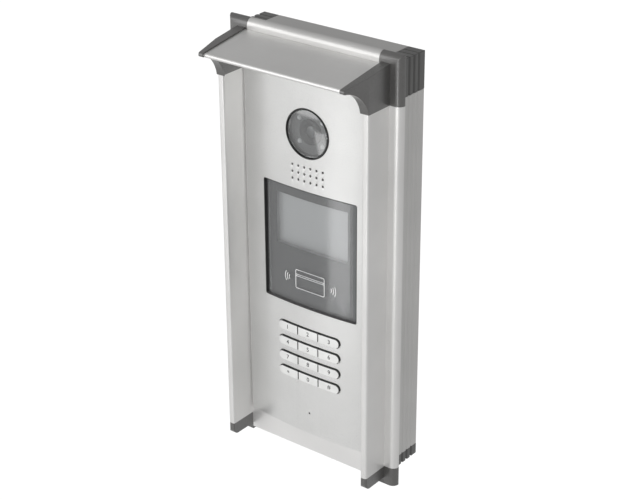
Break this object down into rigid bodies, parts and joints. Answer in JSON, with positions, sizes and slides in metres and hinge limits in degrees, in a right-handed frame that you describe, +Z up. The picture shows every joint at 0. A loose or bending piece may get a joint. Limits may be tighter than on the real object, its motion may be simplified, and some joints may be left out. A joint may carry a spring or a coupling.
{
  "type": "outdoor video intercom station",
  "caption": "Wall-mounted outdoor door station with a rain canopy, side fins, camera, speaker, smoked window, card reader and metal keypad.",
  "frame": {"origin": "centre of the back face, where the box meets the wall", "axes": "+X to the right seen from the front, +Y into the wall, +Z up"},
  "size_m": [0.158, 0.0845, 0.353],
  "materials": {
    "panel_metal": "fine-blasted silver anodising, light grey",
    "frame_metal": "satin silver anodising",
    "box_metal": "satin silver anodising",
    "sheet_steel": "plain zinc grey",
    "dark_plastic": "matt anthracite, weather-proof moulding",
    "black_plastic": "matt black",
    "black_rubber": "matt black",
    "window_glass": "smoked, glossy",
    "camera_glass": "lightly smoked, glossy",
    "lens_glass": "coated, glossy",
    "led_clear": "clear moulded, glossy",
    "black_print": "black print on clear film",
    "screen_grey": "grey screen, switched off",
    "module_plastic": "plain dark grey",
    "tray_plastic": "light grey tray round the screen",
    "board_green": "green solder mask",
    "key_metal": "satin, light grey",
    "terminal_green": "green moulding",
    "zinc": "bright zinc"
  },
  "bodies": {
    "housing": {"back_plate": "sheet_steel", "side_profile_left": "box_metal", "side_profile_right": "box_metal", "top_profile": "box_metal", "bottom_profile": "box_metal", "corner_top_left": "dark_plastic", "corner_top_right": "dark_plastic", "corner_bottom_left": "dark_plastic", "corner_bottom_right": "dark_plastic", "box_seal": "black_rubber", "fin_stile_left": "frame_metal", "fin_stile_right": "frame_metal", "top_rail": "frame_metal", "bottom_rail": "frame_metal", "frame_cap_left": "dark_plastic", "frame_cap_right": "dark_plastic", "foot_cap_left": "dark_plastic", "foot_cap_right": "dark_plastic", "canopy": "frame_metal", "canopy_end_left": "dark_plastic", "canopy_end_right": "dark_plastic", "front_panel": "panel_metal", "camera_bezel": "black_plastic", "camera_window": "camera_glass", "led_plate": "module_plastic", "infrared_leds": "led_clear", "lens_barrel": "black_plastic", "lens": "lens_glass", "camera_board": "board_green", "speaker_gasket": "black_rubber", "speaker": "module_plastic", "window_frame": "black_plastic", "window_glass": "window_glass", "screen_mask": "black_print", "screen_holder": "tray_plastic", "screen": "screen_grey", "reader_antenna": "board_green", "keypad_mat": "black_rubber", "keypad_board": "board_green", "microphone": "black_rubber", "module_carrier": "sheet_steel", "main_board": "board_green", "terminal_block": "terminal_green", "standoffs": "zinc", "board_screws": "zinc", "locking_screws": "zinc", "cable_grommet": "black_rubber"},
    "key_1": {"key_1": "key_metal"},
    "key_2": {"key_2": "key_metal"},
    "key_3": {"key_3": "key_metal"},
    "key_4": {"key_4": "key_metal"},
    "key_5": {"key_5": "key_metal"},
    "key_6": {"key_6": "key_metal"},
    "key_7": {"key_7": "key_metal"},
    "key_8": {"key_8": "key_metal"},
    "key_9": {"key_9": "key_metal"},
    "key_star": {"key_star": "key_metal"},
    "key_0": {"key_0": "key_metal"},
    "key_hash": {"key_hash": "key_metal"}
  },
  "joints": [
    {"name": "key_1_press", "type": "slide", "parent": "housing", "child": "key_1", "axis": [0, 1, 0], "range_m": [0, 0.0008], "stiffness_N_per_m": 1500},
    {"name": "key_2_press", "type": "slide", "parent": "housing", "child": "key_2", "axis": [0, 1, 0], "range_m": [0, 0.0008], "stiffness_N_per_m": 1500},
    {"name": "key_3_press", "type": "slide", "parent": "housing", "child": "key_3", "axis": [0, 1, 0], "range_m": [0, 0.0008], "stiffness_N_per_m": 1500},
    {"name": "key_4_press", "type": "slide", "parent": "housing", "child": "key_4", "axis": [0, 1, 0], "range_m": [0, 0.0008], "stiffness_N_per_m": 1500},
    {"name": "key_5_press", "type": "slide", "parent": "housing", "child": "key_5", "axis": [0, 1, 0], "range_m": [0, 0.0008], "stiffness_N_per_m": 1500},
    {"name": "key_6_press", "type": "slide", "parent": "housing", "child": "key_6", "axis": [0, 1, 0], "range_m": [0, 0.0008], "stiffness_N_per_m": 1500},
    {"name": "key_7_press", "type": "slide", "parent": "housing", "child": "key_7", "axis": [0, 1, 0], "range_m": [0, 0.0008], "stiffness_N_per_m": 1500},
    {"name": "key_8_press", "type": "slide", "parent": "housing", "child": "key_8", "axis": [0, 1, 0], "range_m": [0, 0.0008], "stiffness_N_per_m": 1500},
    {"name": "key_9_press", "type": "slide", "parent": "housing", "child": "key_9", "axis": [0, 1, 0], "range_m": [0, 0.0008], "stiffness_N_per_m": 1500},
    {"name": "key_star_press", "type": "slide", "parent": "housing", "child": "key_star", "axis": [0, 1, 0], "range_m": [0, 0.0008], "stiffness_N_per_m": 1500},
    {"name": "key_0_press", "type": "slide", "parent": "housing", "child": "key_0", "axis": [0, 1, 0], "range_m": [0, 0.0008], "stiffness_N_per_m": 1500},
    {"name": "key_hash_press", "type": "slide", "parent": "housing", "child": "key_hash", "axis": [0, 1, 0], "range_m": [0, 0.0008], "stiffness_N_per_m": 1500}
  ]
}
